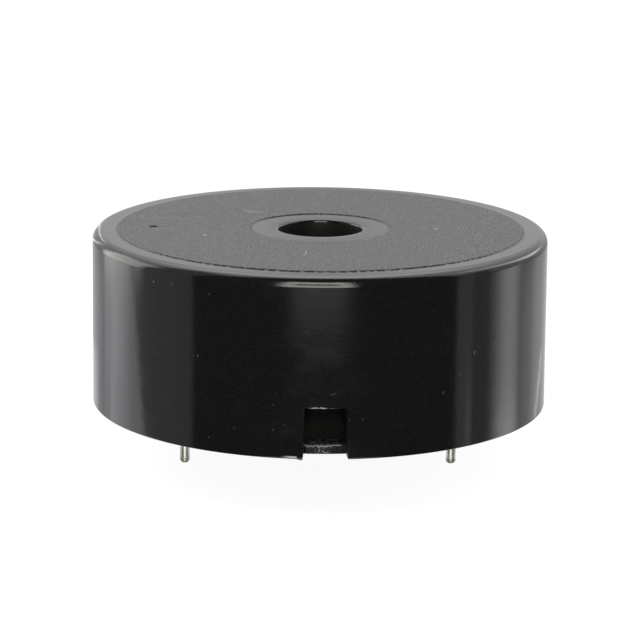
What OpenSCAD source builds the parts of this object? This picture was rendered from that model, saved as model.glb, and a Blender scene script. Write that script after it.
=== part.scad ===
// Round piezo buzzer with its drive circuit inside, for a circuit board.
// A black case with a sound hole holds a three-terminal disc over a small round board.
// Millimetres. The rim of the case is at z = 0, the top is up and the notch faces -Y.

/* [Case] */
// Outside diameter of the case just below its top corner
case_d = 41.8; // [38:0.1:46]
// Height of the case from its rim to the smooth part of its top
case_h = 16; // [14:0.1:20]
// Slope of the side wall in degrees, wider towards the rim
case_draft = 0.36; // [0:0.02:1.2]
// Radius of the top outer corner
corner_r = 0.9; // [0.4:0.1:1.4]
// Thickness of the top
top_t = 1.6; // [1.2:0.1:2.4]
// Thickness of the side wall above the base
wall_t = 2; // [1.7:0.1:2.4]
// Thickness of the thinner rim that takes the base
rim_t = 1.1; // [0.8:0.1:1.4]

/* [Top face] */
// Diameter of the sound hole
hole_d = 7.7; // [5:0.1:10]
// Radius of the sound hole's upper edge
hole_edge_r = 0.2; // [0.1:0.05:0.4]
// Width of the smooth ring around the sound hole
ring_w = 2.6; // [1.5:0.1:4]
// Width of the smooth flat border inside the outer corner
border_w = 1.4; // [0.6:0.1:3]
// Height of the grained ring above the smooth parts of the top
grain_rise = 0.08; // [0.04:0.01:0.2]
// Distance of the polarity dimple from the outer edge of the grained ring
dimple_in = 3.25; // [1:0.05:6]
// Diameter of the polarity dimple
dimple_d = 0.9; // [0.6:0.05:1.4]
// Depth of the polarity dimple
dimple_depth = 0.2; // [0.1:0.02:0.4]

/* [Notch] */
// Width of the notch at the rim
notch_w = 3.95; // [3:0.05:6]
// Height of the notch
notch_h = 4.55; // [2:0.05:6]
// Slope of the notch's sides in degrees, narrower towards its top
notch_draft = 1.6; // [0:0.1:3]

/* [Base] */
// Thickness of the base plate
base_t = 0.85; // [0.7:0.05:1.4]
// Distance of the base plate above the rim's plane
base_recess = 0.15; // [0.05:0.05:0.5]
// Gap around the base plate
base_play = 0.05; // [0.02:0.01:0.15]
// Thickness of the wall that carries the board
carrier_t = 1.4; // [1:0.1:2]
// Gap between that wall and the case
carrier_gap = 0.7; // [0.4:0.1:1]
// Thickness of the boss around each pin's shank
boss_t = 1.15; // [0.8:0.05:1.8]
// Number of snap beads that hold the base
bead_count = 4; // [3:1:8]
// Length of a snap bead around the case, in degrees
bead_angle = 12; // [6:1:20]
// Height of a snap bead
bead_h = 0.35; // [0.25:0.05:0.5]
// How far a snap bead reaches inwards
bead_reach = 0.25; // [0.15:0.05:0.4]
// Gap between a snap bead and the end and back of its pocket
bead_play = 0.05; // [0.02:0.01:0.1]
// Width of the broken-off gate stub on the base's edge
gate_w = 2.2; // [1:0.1:2.6]
// How far the gate stub stands out
gate_reach = 0.2; // [0.1:0.05:0.4]
// Height of the gate stub
gate_h = 0.65; // [0.3:0.05:0.7]
// Distance of the gate stub from the notch's left side
gate_side = 0.15; // [0.05:0.05:0.4]

/* [Pins] */
// Diameter of a pin
pin_d = 0.9; // [0.6:0.05:1.2]
// How far a pin's shank, which the base and the board hold, stands out all around
shank_step = 0.2; // [0.1:0.05:0.3]
// Distance of the shank's shoulder above the rim's plane
shank_lift = 0.05; // [0.01:0.01:0.05]
// Distance between the two pins
pin_pitch = 25; // [22.5:0.1:27]
// Length of a pin below the rim
pin_out = 6.5; // [3:0.1:10]
// How far a pin stands out of the board
pin_proud = 0.8; // [0.5:0.1:1.4]
// Radius of the positive pin's rounded end
pin_round = 0.35; // [0.1:0.05:0.4]
// Chamfer of the negative pin's cut end
pin_chamfer = 0.15; // [0.05:0.05:0.25]

/* [Disc] */
// Gap between the brass plate and the case
plate_gap = 1.4; // [1:0.1:2]
// Thickness of the brass plate
plate_t = 0.3; // [0.2:0.05:0.5]
// Width of the plate's seat on the case
seat_w = 1.1; // [0.8:0.1:1.4]
// Thickness of the round rib that carries the plate
rib_t = 1.5; // [1.2:0.1:1.8]
// Height of the sound chamber between the plate and the top
chamber_h = 5; // [3:0.1:6]
// Bare edge of the brass outside the ceramic
ceramic_margin = 5; // [4:0.1:6]
// Thickness of the ceramic
ceramic_t = 0.23; // [0.15:0.01:0.4]
// Thickness of the silver layers
silver_t = 0.03; // [0.02:0.01:0.06]
// Bare edge of the ceramic outside the silver
silver_margin = 0.7; // [0.4:0.1:1.2]
// Width of the feedback tongue
tongue_w = 3.2; // [2.6:0.1:4]
// Length of the feedback tongue from the edge of the silver
tongue_l = 6.4; // [5:0.1:8]
// Gap between the tongue and the main silver layer
tongue_gap = 0.5; // [0.3:0.05:0.8]

/* [Board] */
// Room between the board and the brass plate
room_h = 3.1; // [2.8:0.1:4]
// Thickness of the board
board_t = 1; // [0.8:0.1:1.6]
// Gap between the board and the case
board_gap = 1; // [0.7:0.1:1.4]
// Gap around a pin's shank in the board's hole
pin_play = 0.05; // [0.03:0.01:0.15]
// Thickness of the copper
copper_t = 0.05; // [0.03:0.01:0.08]
// Width of a copper track
track_w = 0.8; // [0.5:0.1:1]
// Diameter of the copper pad around a pin
pin_pad_d = 2.8; // [2.2:0.1:3.4]
// Diameter of the copper pad of a lead
lead_pad_d = 2; // [1.6:0.1:2.4]
// Distance of the two side resistors from the middle of the board
side_x = 6; // [5:0.1:7]
// Distance of the two side resistors from the line of the pins
side_y = 3; // [2.6:0.1:4]
// Distance of the base resistor from the line of the pins
base_resistor_y = 5.5; // [5:0.1:6]
// Distance of the supply track from the middle of the board
supply_x = 9; // [8.6:0.1:10]
// Distance of the ground track from the middle of the board
ground_x = 9; // [6:0.1:10]

/* [Small parts] */
// Length of a resistor
resistor_l = 2; // [1.8:0.1:2.4]
// Width of a resistor
resistor_w = 1.25; // [1:0.05:1.4]
// Height of a resistor
resistor_h = 0.5; // [0.4:0.05:0.7]
// Length of a resistor's metal end
cap_l = 0.35; // [0.2:0.05:0.5]
// How far a metal end stands proud of the resistor's body
cap_proud = 0.04; // [0.02:0.01:0.08]
// Length of the transistor's body
transistor_l = 2.9; // [2.6:0.1:3.1]
// Width of the transistor's body
transistor_w = 1.3; // [1.1:0.1:1.4]
// Height of the transistor's body
transistor_h = 0.95; // [0.8:0.05:1.2]
// Gap under the transistor's body
transistor_lift = 0.1; // [0.05:0.01:0.2]
// Distance over the transistor's feet
transistor_span = 2.5; // [2.3:0.1:2.8]
// Distance between the transistor's two front legs
leg_pitch = 1.9; // [1.7:0.1:2.1]
// Width of a transistor leg
leg_w = 0.42; // [0.3:0.02:0.5]
// Thickness of a transistor leg
leg_t = 0.12; // [0.08:0.01:0.18]
// Length of the solder fillet at a part's end
fillet_l = 0.25; // [0.15:0.05:0.35]

/* [Leads] */
// Diameter of a lead with its insulation
lead_d = 0.6; // [0.4:0.05:0.7]
// Diameter of a lead's bare core
core_d = 0.3; // [0.2:0.05:0.35]
// Radius of a lead's bends
bend_r = 0.7; // [0.5:0.05:0.8]
// Height of a lead's solder cone
cone_h = 0.45; // [0.3:0.05:0.5]
// Diameter of a lead's solder cone at its foot
cone_d = 1.7; // [1.2:0.1:1.9]
// Height of a pin's solder cone
pin_cone_h = 0.6; // [0.4:0.05:0.75]
// Diameter of a pin's solder cone at its foot
pin_cone_d = 2.2; // [1.8:0.1:2.6]
// Distance of the drive lead's pad from the line of the pins
drive_pad_y = 8; // [7:0.1:9]
// Sideways reach of the drive lead
drive_reach = 5.5; // [4:0.1:6]
// Sideways reach of the feedback lead
feedback_reach = 4.6; // [4:0.1:5.5]
// Distance of the ground lead's pad from the line of the pins
ground_pad_y = 6; // [5:0.1:7]
// Direction of the plate's solder point, in degrees to the right of the notch
plate_point_angle = 45; // [38:1:52]

/* [Hidden] */
$fn = 96;
// How far a cutting shape passes the face that it cuts, and a fused shape sinks into its neighbour
over = 0.4;

// Radii of the case
case_r = case_d / 2;
corner_at = [case_r - corner_r, case_h - corner_r];
corner_end = corner_at + corner_r * [cos(case_draft), sin(case_draft)];
rim_r = corner_end.x + corner_end.y * tan(case_draft);
inner_r = case_r - wall_t;
rebate_r = case_r - rim_t;

// Radii on the top face
hole_r = hole_d / 2;
ring_r = hole_r + ring_w;
grain_r = case_r - corner_r - border_w;
dimple_x = -(grain_r - dimple_in);
dimple_ball_r = (pow(dimple_d / 2, 2) + pow(dimple_depth, 2)) / (2 * dimple_depth);
dimple_ball_z = case_h + grain_rise + dimple_ball_r - dimple_depth;

// Heights, from the rim up
base_z = base_recess;
base_top = base_z + base_t;
ceiling_z = case_h - top_t;
seat_z = ceiling_z - chamber_h;
plate_z = seat_z - plate_t;
ceramic_z = plate_z - ceramic_t;
silver_z = ceramic_z - silver_t;
board_top = plate_z - room_h;
board_z = board_top - board_t;
copper_top = board_top + copper_t;

// Radii under the top
plate_r = inner_r - plate_gap;
rib_in = plate_r - seat_w;
rib_out = rib_in + rib_t;
base_r = rebate_r - base_play;
carrier_out = inner_r - carrier_gap;
carrier_in = carrier_out - carrier_t;
board_r = inner_r - board_gap;
ceramic_r = plate_r - ceramic_margin;
silver_r = ceramic_r - silver_margin;

// Angle from the middle of a bead to the middle of the next, with the first half a step from the notch
bead_step = 360 / bead_count;
bead_start = -90 + bead_step / 2;
pocket_depth = bead_reach + bead_play - base_play;
pocket_angle = bead_angle + 2 * asin(bead_play / base_r);

// Notch and gate stub
notch_turn = asin(notch_w / 2 / rim_r);
notch_at_base = notch_w / 2 - base_top * tan(notch_draft) - (rim_r - base_r) * tan(notch_turn);
gate_x = -notch_at_base + gate_side;

// Pins
pin_r = pin_d / 2;
pin_x = pin_pitch / 2;
pin_tip = -pin_out;
pin_top = board_top + pin_proud;
shank_r = pin_r + shank_step;
boss_r = shank_r + boss_t;
board_hole_r = shank_r + pin_play;

// Places on the board
side_in = side_x - resistor_l / 2;
side_out = side_x + resistor_l / 2;
base_leg = [-leg_pitch / 2, -transistor_span / 2];
emitter_leg = [leg_pitch / 2, -transistor_span / 2];
collector_leg = [0, transistor_span / 2];
base_resistor_at = [base_leg.x, -base_resistor_y];
emitter_run_y = base_leg.y - track_w / 2;
leg_pad_half = track_w / 2;
cap_pad_l = cap_l + fillet_l;

// Ends of the leads on the board and on the disc
tongue_out = silver_r;
tongue_in = silver_r - tongue_l;
tongue_mid = (tongue_out + tongue_in) / 2;
drive_pad = [0, drive_pad_y];
drive_point = drive_pad + [drive_reach, -drive_reach / 3];
feedback_pad = [-feedback_reach, -tongue_mid];
feedback_point = [0, -tongue_mid];
ground_pad = [ground_x, -ground_pad_y];
plate_margin_r = (ceramic_r + rib_in) / 2;
plate_point = plate_margin_r * [sin(plate_point_angle), -cos(plate_point_angle)];
core_r = core_d / 2;
lead_r = lead_d / 2;

// A slice of a circle between two directions up to 90 degrees apart, drawn on its own straight edges
module sector(centre, r, from, to) {
    reach = 2 * r;
    intersection() {
        translate(centre) circle(r = r);
        polygon([
            centre,
            centre + reach * [cos(from), sin(from)],
            centre + reach * [cos(to), sin(to)]
        ]);
    }
}

// Section of the case from its axis outwards, with both upper edges rounded
module case_section() {
    hole_corner = [hole_r + hole_edge_r, case_h - hole_edge_r];
    polygon([
        [hole_r, ceiling_z],
        [hole_r, hole_corner.y],
        hole_corner,
        [hole_corner.x, case_h],
        [corner_at.x, case_h],
        corner_at,
        corner_end,
        [rim_r, 0],
        [rebate_r, 0],
        [rebate_r, base_top],
        [inner_r, base_top],
        [inner_r, ceiling_z],
        [rib_out, ceiling_z],
        [rib_out, seat_z],
        [rib_in, seat_z],
        [rib_in, ceiling_z]
    ]);
    sector(hole_corner, hole_edge_r, 90, 180);
    sector(corner_at, corner_r, case_draft, 90);
    translate([ring_r, case_h]) square([grain_r - ring_r, grain_rise]);
}

// Ring piece around the axis, centred on a direction
module arc_block(direction, angle, r_in, r_out, z, h) {
    rotate([0, 0, direction - angle / 2])
        rotate_extrude(angle = angle)
            translate([r_in, z]) square([r_out - r_in, h]);
}

// The block that the notch takes away, with nearly radial sides that also lean in towards the top
module notch_block() {
    depth = rim_r - carrier_out + over;
    side = 2 * notch_w;
    difference() {
        translate([-side / 2, -rim_r - over, -over]) cube([side, depth, notch_h + over]);
        for (way = [0, 1])
            mirror([way, 0, 0])
                translate([notch_w / 2, -rim_r, 0])
                    rotate([0, 0, notch_turn])
                        rotate([0, -notch_draft, 0])
                            translate([0, -side, -side]) cube([side, 2 * side, 2 * side + notch_h]);
    }
}

module housing() {
    color([0.09, 0.09, 0.1]) difference() {
        union() {
            rotate_extrude() case_section();
            for (i = [0:bead_count - 1])
                arc_block(bead_start + i * bead_step, bead_angle, rebate_r - bead_reach, rebate_r + over,
                          base_z, bead_h);
        }
        notch_block();
        translate([dimple_x, 0, dimple_ball_z]) sphere(r = dimple_ball_r);
    }
}

module base() {
    color([0.14, 0.14, 0.15]) difference() {
        union() {
            translate([0, 0, base_z]) cylinder(r = base_r, h = base_t);
            difference() {
                translate([0, 0, base_z]) cylinder(r = carrier_out, h = board_z - base_z);
                translate([0, 0, base_top]) cylinder(r = carrier_in, h = board_z - base_top + over);
            }
            for (x = [-pin_x, pin_x])
                translate([x, 0, base_z]) cylinder(r = boss_r, h = board_z - base_z);
            translate([gate_x, -base_r - gate_reach, base_z + (base_t - gate_h) / 2])
                cube([gate_w, gate_reach + over, gate_h]);
        }
        for (x = [-pin_x, pin_x])
            translate([x, 0, base_z - over]) cylinder(r = shank_r, h = board_z - base_z + 2 * over);
        for (i = [0:bead_count - 1])
            arc_block(bead_start + i * bead_step, pocket_angle, base_r - pocket_depth, base_r + over,
                      base_z - over, bead_h + over);
    }
}

// Half section of a pin from the end of its wire up, without the end itself
module pin_section(end_r, end_z) {
    polygon([
        [0, pin_tip],
        [end_r, pin_tip],
        [end_r, end_z],
        [pin_r, end_z],
        [pin_r, shank_lift],
        [shank_r, shank_lift],
        [shank_r, pin_top],
        [0, pin_top]
    ]);
}

// The pin with the rounded end, beside the dimple
module pin_positive() {
    corner = [pin_r - pin_round, pin_tip + pin_round];
    color([0.78, 0.78, 0.76]) translate([-pin_x, 0, 0]) rotate_extrude() {
        pin_section(corner.x, corner.y);
        sector(corner, pin_round, -90, 0);
    }
}

// The pin with the cut end
module pin_negative() {
    end_r = pin_r - pin_chamfer;
    end_z = pin_tip + pin_chamfer;
    color([0.78, 0.78, 0.76]) translate([pin_x, 0, 0]) rotate_extrude() {
        pin_section(end_r, end_z);
        polygon([[end_r, pin_tip], [pin_r, end_z], [end_r, end_z]]);
    }
}

module vibration_plate() {
    color([0.8, 0.62, 0.25]) translate([0, 0, plate_z]) cylinder(r = plate_r, h = plate_t);
}

module piezo_ceramic() {
    color([0.85, 0.8, 0.68]) translate([0, 0, ceramic_z]) cylinder(r = ceramic_r, h = ceramic_t);
}

// Outline of the feedback tongue, grown by a margin, from inside the silver to past its edge
module tongue_block(margin, h) {
    translate([0, -tongue_in - tongue_w / 2, 0]) cylinder(r = tongue_w / 2 + margin, h = h);
    translate([-tongue_w / 2 - margin, -silver_r - over, 0])
        cube([tongue_w + 2 * margin, silver_r + over - tongue_in - tongue_w / 2, h]);
}

module main_electrode() {
    color([0.82, 0.83, 0.84]) translate([0, 0, silver_z]) difference() {
        cylinder(r = silver_r, h = silver_t);
        translate([0, 0, -over]) tongue_block(tongue_gap, silver_t + 2 * over);
    }
}

module feedback_electrode() {
    color([0.82, 0.83, 0.84]) translate([0, 0, silver_z]) intersection() {
        cylinder(r = silver_r, h = silver_t);
        union() tongue_block(0, silver_t);
    }
}

// Fillet of silicone in the corner between the plate's edge and the rib that carries the plate
module silicone_bead() {
    color([0.9, 0.9, 0.88]) rotate_extrude()
        polygon([[plate_r, seat_z], [rib_out, seat_z], [plate_r, plate_z]]);
}

module circuit_board() {
    color([0.72, 0.55, 0.3]) difference() {
        translate([0, 0, board_z]) cylinder(r = board_r, h = board_t);
        for (x = [-pin_x, pin_x])
            translate([x, 0, board_z - over]) cylinder(r = board_hole_r, h = board_t + 2 * over);
    }
}

// A run of copper through points that each share an x or a y with the next
module track(points) {
    for (i = [0:len(points) - 2]) {
        a = points[i];
        b = points[i + 1];
        low = [min(a.x, b.x) - track_w / 2, min(a.y, b.y) - track_w / 2];
        high = [max(a.x, b.x) + track_w / 2, max(a.y, b.y) + track_w / 2];
        translate([low.x, low.y, board_top]) cube([high.x - low.x, high.y - low.y, copper_t]);
    }
}

module round_pad(at, d) {
    translate([at.x, at.y, board_top]) cylinder(r = d / 2, h = copper_t);
}

// A pad under a resistor's metal end, which points the way 1 or -1 along x, or along y
module cap_pad(at, way, along_y = false) {
    turn = along_y ? 90 : 0;
    translate([at.x, at.y, board_top]) rotate([0, 0, turn])
        translate([way > 0 ? -cap_l : -fillet_l, -resistor_w / 2, 0])
            cube([cap_pad_l, resistor_w, copper_t]);
}

module leg_pad(at) {
    translate([at.x - leg_pad_half, at.y - leg_pad_half, board_top])
        cube([2 * leg_pad_half, 2 * leg_pad_half, copper_t]);
}

module circuit_tracks() {
    color([0.75, 0.45, 0.25]) difference() {
        union() {
            // Supply, from the positive pin to the load and bias resistors
            round_pad([-pin_x, 0], pin_pad_d);
            track([[-pin_x, 0], [-supply_x, 0]]);
            track([
                [-side_out, side_y],
                [-supply_x, side_y],
                [-supply_x, -side_y],
                [-side_out, -side_y]
            ]);
            cap_pad([-side_out, side_y], -1);
            cap_pad([-side_out, -side_y], -1);
            // Drive, from the load resistor and the collector to the drive lead
            cap_pad([-side_in, side_y], 1);
            track([[-side_in, side_y], [collector_leg.x, side_y], collector_leg]);
            track([[drive_pad.x, side_y], drive_pad]);
            leg_pad(collector_leg);
            round_pad(drive_pad, lead_pad_d);
            // Base, from the bias resistor and the base resistor to the transistor
            cap_pad([-side_in, -side_y], 1);
            track([[-side_in, -side_y], [base_leg.x, -side_y], base_leg]);
            track([[base_leg.x, -side_y], [base_leg.x, base_resistor_at.y + resistor_l / 2]]);
            cap_pad([base_leg.x, base_resistor_at.y + resistor_l / 2], 1, true);
            // Feedback, from the base resistor to the feedback lead
            cap_pad([base_leg.x, base_resistor_at.y - resistor_l / 2], -1, true);
            track([
                [base_leg.x, base_resistor_at.y - resistor_l / 2],
                [base_leg.x, feedback_pad.y],
                feedback_pad
            ]);
            round_pad(feedback_pad, lead_pad_d);
            // Ground, from the emitter to the plate lead and the negative pin
            leg_pad(emitter_leg);
            track([
                emitter_leg,
                [emitter_leg.x, emitter_run_y],
                [ground_x, emitter_run_y],
                [ground_x, 0],
                [pin_x, 0]
            ]);
            track([[ground_x, emitter_run_y], ground_pad]);
            round_pad(ground_pad, lead_pad_d);
            round_pad([pin_x, 0], pin_pad_d);
        }
        for (x = [-pin_x, pin_x])
            translate([x, 0, board_top - over]) cylinder(r = board_hole_r, h = copper_t + 2 * over);
    }
}

// One leg of the transistor, from the middle of its side down to its foot, along +Y
module leg() {
    shoulder_z = transistor_lift + transistor_h / 2 - leg_t / 2;
    knee_y = (transistor_w / 2 + transistor_span / 2) / 2;
    translate([-leg_w / 2, transistor_w / 2 - leg_t, shoulder_z])
        cube([leg_w, knee_y + 2 * leg_t - transistor_w / 2, leg_t]);
    translate([-leg_w / 2, knee_y, 0]) cube([leg_w, leg_t, shoulder_z + leg_t]);
    translate([-leg_w / 2, knee_y, 0]) cube([leg_w, transistor_span / 2 - knee_y, leg_t]);
}

module transistor() {
    color([0.12, 0.12, 0.13]) translate([0, 0, copper_top]) {
        translate([-transistor_l / 2, -transistor_w / 2, transistor_lift])
            cube([transistor_l, transistor_w, transistor_h]);
        leg();
        for (x = [base_leg.x, emitter_leg.x])
            translate([x, 0, 0]) rotate([0, 0, 180]) leg();
    }
}

// A flat resistor along x, with its two metal ends
module resistor() {
    core = [resistor_l, resistor_w - 2 * cap_proud, resistor_h - 2 * cap_proud];
    translate([-core.x / 2, -core.y / 2, cap_proud]) cube(core);
    for (way = [0, 1])
        mirror([way, 0, 0])
            translate([resistor_l / 2 - cap_l, -resistor_w / 2, 0])
                cube([cap_l, resistor_w, resistor_h]);
}

module base_resistor() {
    color([0.2, 0.2, 0.22])
        translate([base_resistor_at.x, base_resistor_at.y, copper_top]) rotate([0, 0, 90]) resistor();
}

module bias_resistor() {
    color([0.2, 0.2, 0.22]) translate([-side_x, -side_y, copper_top]) resistor();
}

module load_resistor() {
    color([0.2, 0.2, 0.22]) translate([-side_x, side_y, copper_top]) resistor();
}

// A wedge of solder against an end face, falling away along a direction
module fillet(at, direction, width, height) {
    translate([at.x, at.y, copper_top]) rotate([0, 0, direction])
        translate([0, width / 2, 0]) rotate([90, 0, 0])
            linear_extrude(height = width) polygon([[0, 0], [fillet_l, 0], [0, height]]);
}

module component_solder() {
    cap_solder_h = resistor_h / 2;
    color([0.7, 0.71, 0.72]) {
        for (y = [-side_y, side_y]) {
            fillet([-side_out, y], 180, resistor_w, cap_solder_h);
            fillet([-side_in, y], 0, resistor_w, cap_solder_h);
        }
        fillet(base_resistor_at + [0, resistor_l / 2], 90, resistor_w, cap_solder_h);
        fillet(base_resistor_at - [0, resistor_l / 2], -90, resistor_w, cap_solder_h);
        fillet(collector_leg, 90, leg_w, leg_t);
        fillet(base_leg, -90, leg_w, leg_t);
        fillet(emitter_leg, -90, leg_w, leg_t);
    }
}

// Quarter bend in the upright plane, its centre at the origin, from one direction to a quarter turn on
module quarter_bend(from) {
    rotate([90, 0, 0]) rotate([0, 0, from])
        rotate_extrude(angle = 90) translate([bend_r, 0]) circle(r = lead_r);
}

// An insulated lead that rises from the board, runs level and rises again to the disc
module lead(pad, point, z_end) {
    way = point - pad;
    run = norm(way);
    bare_low = copper_top + cone_h;
    bare_high = z_end - cone_h;
    level = (bare_low + bare_high) / 2;
    rise = level - bend_r - bare_low;
    translate([pad.x, pad.y, 0]) rotate([0, 0, atan2(way.y, way.x)]) {
        translate([0, 0, copper_top]) cylinder(r = core_r, h = cone_h + over);
        translate([0, 0, bare_low]) cylinder(r = lead_r, h = rise);
        translate([bend_r, 0, level - bend_r]) quarter_bend(90);
        translate([bend_r, 0, level]) rotate([0, 90, 0]) cylinder(r = lead_r, h = run - 2 * bend_r);
        translate([run - bend_r, 0, level + bend_r]) quarter_bend(270);
        translate([run, 0, level + bend_r]) cylinder(r = lead_r, h = rise);
        translate([run, 0, bare_high - over]) cylinder(r = core_r, h = cone_h + over);
    }
}

module plate_lead() {
    color([0.1, 0.1, 0.1]) lead(ground_pad, plate_point, plate_z);
}

module drive_lead() {
    color([0.75, 0.1, 0.08]) lead(drive_pad, drive_point, silver_z);
}

module feedback_lead() {
    color([0.1, 0.25, 0.65]) lead(feedback_pad, feedback_point, silver_z);
}

// Solder around a wire, wide at the foot, with the wire's own hole in it
module solder_cone(at, z, h, foot_d, wire_r, neck_r) {
    translate([at.x, at.y, z]) difference() {
        cylinder(r1 = h > 0 ? foot_d / 2 : neck_r, r2 = h > 0 ? neck_r : foot_d / 2, h = abs(h));
        translate([0, 0, -over]) cylinder(r = wire_r, h = abs(h) + 2 * over);
    }
}

module disc_solder() {
    color([0.7, 0.71, 0.72]) {
        solder_cone(plate_point, plate_z - cone_h, -cone_h, cone_d, core_r, lead_r);
        for (point = [drive_point, feedback_point])
            solder_cone(point, silver_z - cone_h, -cone_h, cone_d, core_r, lead_r);
    }
}

module lead_solder() {
    color([0.7, 0.71, 0.72])
        for (pad = [ground_pad, drive_pad, feedback_pad])
            solder_cone(pad, copper_top, cone_h, cone_d, core_r, lead_r);
}

module pin_solder() {
    neck_r = shank_r + pin_play;
    color([0.7, 0.71, 0.72])
        for (x = [-pin_x, pin_x])
            solder_cone([x, 0], copper_top, pin_cone_h, pin_cone_d, shank_r, neck_r);
}

housing();
base();
pin_positive();
pin_negative();
vibration_plate();
piezo_ceramic();
main_electrode();
feedback_electrode();
silicone_bead();
circuit_board();
circuit_tracks();
transistor();
base_resistor();
bias_resistor();
load_resistor();
component_solder();
plate_lead();
drive_lead();
feedback_lead();
disc_solder();
lead_solder();
pin_solder();
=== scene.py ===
"""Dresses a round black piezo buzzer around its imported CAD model, with its camera and studio.

Sizes are written in millimetres and become metres where a mesh is made. The rim of the case is at
z = 0, the top is up, the notch faces -Y and the positive pin is on the -X side.
"""

import logging
import math
from dataclasses import dataclass
from enum import Enum
from functools import cache
from typing import Any, Mapping, Sequence

import bpy
import numpy as np
from mathutils import Matrix


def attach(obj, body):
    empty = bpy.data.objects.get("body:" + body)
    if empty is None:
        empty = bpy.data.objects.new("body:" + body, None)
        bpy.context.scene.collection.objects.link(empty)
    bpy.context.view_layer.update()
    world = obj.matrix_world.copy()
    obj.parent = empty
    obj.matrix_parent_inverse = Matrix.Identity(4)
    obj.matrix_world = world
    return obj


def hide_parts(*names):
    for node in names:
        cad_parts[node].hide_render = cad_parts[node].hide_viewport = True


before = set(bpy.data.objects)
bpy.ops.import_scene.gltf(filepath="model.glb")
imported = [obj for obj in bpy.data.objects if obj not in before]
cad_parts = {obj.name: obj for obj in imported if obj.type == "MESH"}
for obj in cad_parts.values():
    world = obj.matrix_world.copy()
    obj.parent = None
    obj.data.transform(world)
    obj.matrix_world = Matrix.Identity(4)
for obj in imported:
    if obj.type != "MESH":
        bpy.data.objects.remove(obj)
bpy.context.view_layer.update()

MM = 0.001
Span = tuple[float, float]
Point = tuple[float, float, float]
Colour = tuple[float, float, float]
Socket = bpy.types.NodeSocket

log = logging.getLogger("piezo_buzzer")


# Shader nodes


class Signal:
    """A number that varies over a surface: one output socket, on which operators add Math nodes."""

    def __init__(self, net: "Net", socket: Socket) -> None:
        """Keeps the socket and the net that it belongs to."""
        self.net = net
        self.socket = socket

    def apply(self, operation: str, *values: "Signal | float") -> "Signal":
        """Adds one Math node.

        Args:
            operation: Blender's name of the operation.
            *values: the operands, in order.

        Returns:
            The node's result.
        """
        node = self.net.node("ShaderNodeMath", {"operation": operation}, dict(enumerate(values)))
        return Signal(self.net, node.outputs[0])

    def __add__(self, other: "Signal | float") -> "Signal":
        """Sum."""
        return self.apply("ADD", self, other)

    __radd__ = __add__

    def __sub__(self, other: "Signal | float") -> "Signal":
        """Difference."""
        return self.apply("SUBTRACT", self, other)

    def __rsub__(self, other: float) -> "Signal":
        """Difference from a number."""
        return self.apply("SUBTRACT", other, self)

    def __mul__(self, other: "Signal | float") -> "Signal":
        """Product."""
        return self.apply("MULTIPLY", self, other)

    __rmul__ = __mul__

    def __pow__(self, other: float) -> "Signal":
        """Power."""
        return self.apply("POWER", self, other)

    def __abs__(self) -> "Signal":
        """Size without its sign."""
        return self.apply("ABSOLUTE", self)

    def most(self, other: "Signal | float") -> "Signal":
        """The larger of two."""
        return self.apply("MAXIMUM", self, other)

    def rise(self, low: float, high: float) -> "Signal":
        """Smooth step, 0 up to low and 1 from high on; it falls where low is above high.

        Args:
            low: where it is 0.
            high: where it is 1.

        Returns:
            The step, between 0 and 1.
        """
        node = self.net.node(
            "ShaderNodeMapRange",
            {"interpolation_type": "SMOOTHSTEP", "clamp": True},
            {"Value": self, "From Min": low, "From Max": high, "To Min": 0.0, "To Max": 1.0},
        )
        return Signal(self.net, node.outputs["Result"])

    def between(self, low: float, high: float, soft: float) -> "Signal":
        """Window that is 1 between two values.

        Args:
            low: lower end, half way up.
            high: upper end, half way up.
            soft: width of each soft end.

        Returns:
            The window, between 0 and 1.
        """
        half = soft / 2
        return self.rise(low - half, low + half) * self.rise(high + half, high - half)


@dataclass
class Place:
    """A surface point in a net: object coordinates in millimetres, as a vector and as numbers."""

    net: "Net"
    vector: Socket
    x: Signal
    y: Signal
    z: Signal

    def radius(self) -> Signal:
        """Distance from the axis of the case."""
        return (self.x * self.x + self.y * self.y) ** 0.5

    def polar(self) -> Socket:
        """Angle in radians, radius and height as one vector, for marks that run round the axis."""
        parts = {0: self.y.apply("ARCTAN2", self.y, self.x), 1: self.radius(), 2: self.z}
        return self.net.node("ShaderNodeCombineXYZ", None, parts).outputs[0]

    def noise(
        self,
        scale: float,
        detail: float = 2.0,
        stretch: Point | None = None,
        distortion: float = 0.0,
        round_axis: bool = False,
    ) -> Signal:
        """Soft noise.

        Args:
            scale: features in a millimetre.
            detail: how many finer layers are added.
            stretch: what the coordinates are multiplied by first.
            distortion: how much the noise is swirled.
            round_axis: whether the coordinates are the polar ones.

        Returns:
            The noise, about 0.5 on average.
        """
        vector = self.polar() if round_axis else self.vector
        if stretch is not None:
            settings, factors = {"operation": "MULTIPLY"}, {0: vector, 1: stretch}
            vector = self.net.node("ShaderNodeVectorMath", settings, factors).outputs[0]
        sockets = {"Vector": vector, "Scale": scale, "Detail": detail, "Distortion": distortion}
        node = self.net.node("ShaderNodeTexNoise", {"noise_dimensions": "3D"}, sockets)
        return Signal(self.net, node.outputs[0])

    def cells(self, scale: float) -> tuple[Signal, Signal]:
        """Scattered points.

        Args:
            scale: points in a millimetre.

        Returns:
            Distance to the nearest point, and a random number for it.
        """
        sockets = {"Vector": self.vector, "Scale": scale}
        node = self.net.node("ShaderNodeTexVoronoi", {"feature": "F1"}, sockets)
        parts = self.net.node("ShaderNodeSeparateXYZ", None, {0: node.outputs["Color"]}).outputs
        return Signal(self.net, node.outputs["Distance"]), Signal(self.net, parts[0])


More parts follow.
